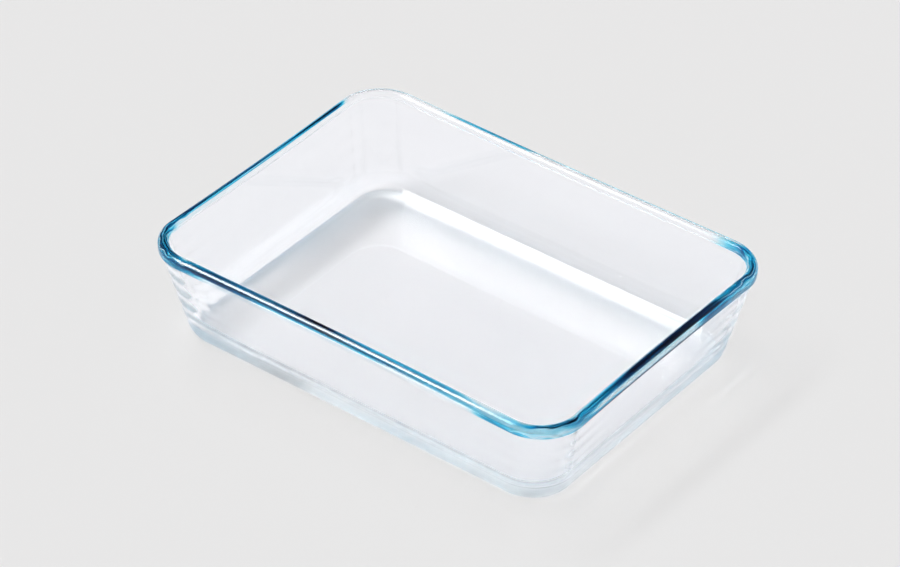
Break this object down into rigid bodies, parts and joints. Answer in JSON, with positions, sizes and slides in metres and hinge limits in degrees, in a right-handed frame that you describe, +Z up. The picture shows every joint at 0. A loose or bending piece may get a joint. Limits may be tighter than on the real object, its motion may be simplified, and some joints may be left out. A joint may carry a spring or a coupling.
{
  "type": "glass baking dish",
  "caption": "Rectangular pressed-glass baking dish with leaning walls, rounded corners, a thick outward lip, a wide inner fillet and a narrow foot ring.",
  "frame": {"origin": "centre of the base, on the surface that the dish stands on", "axes": "+X along the long side, +Y along the short side, +Z up out of the mouth"},
  "size_m": [0.27, 0.198, 0.058],
  "materials": {
    "clear_glass": "clear, fire-polished, with a blue cast where the glass is thick"
  },
  "bodies": {
    "root": {"dish": "clear_glass"}
  },
  "joints": []
}
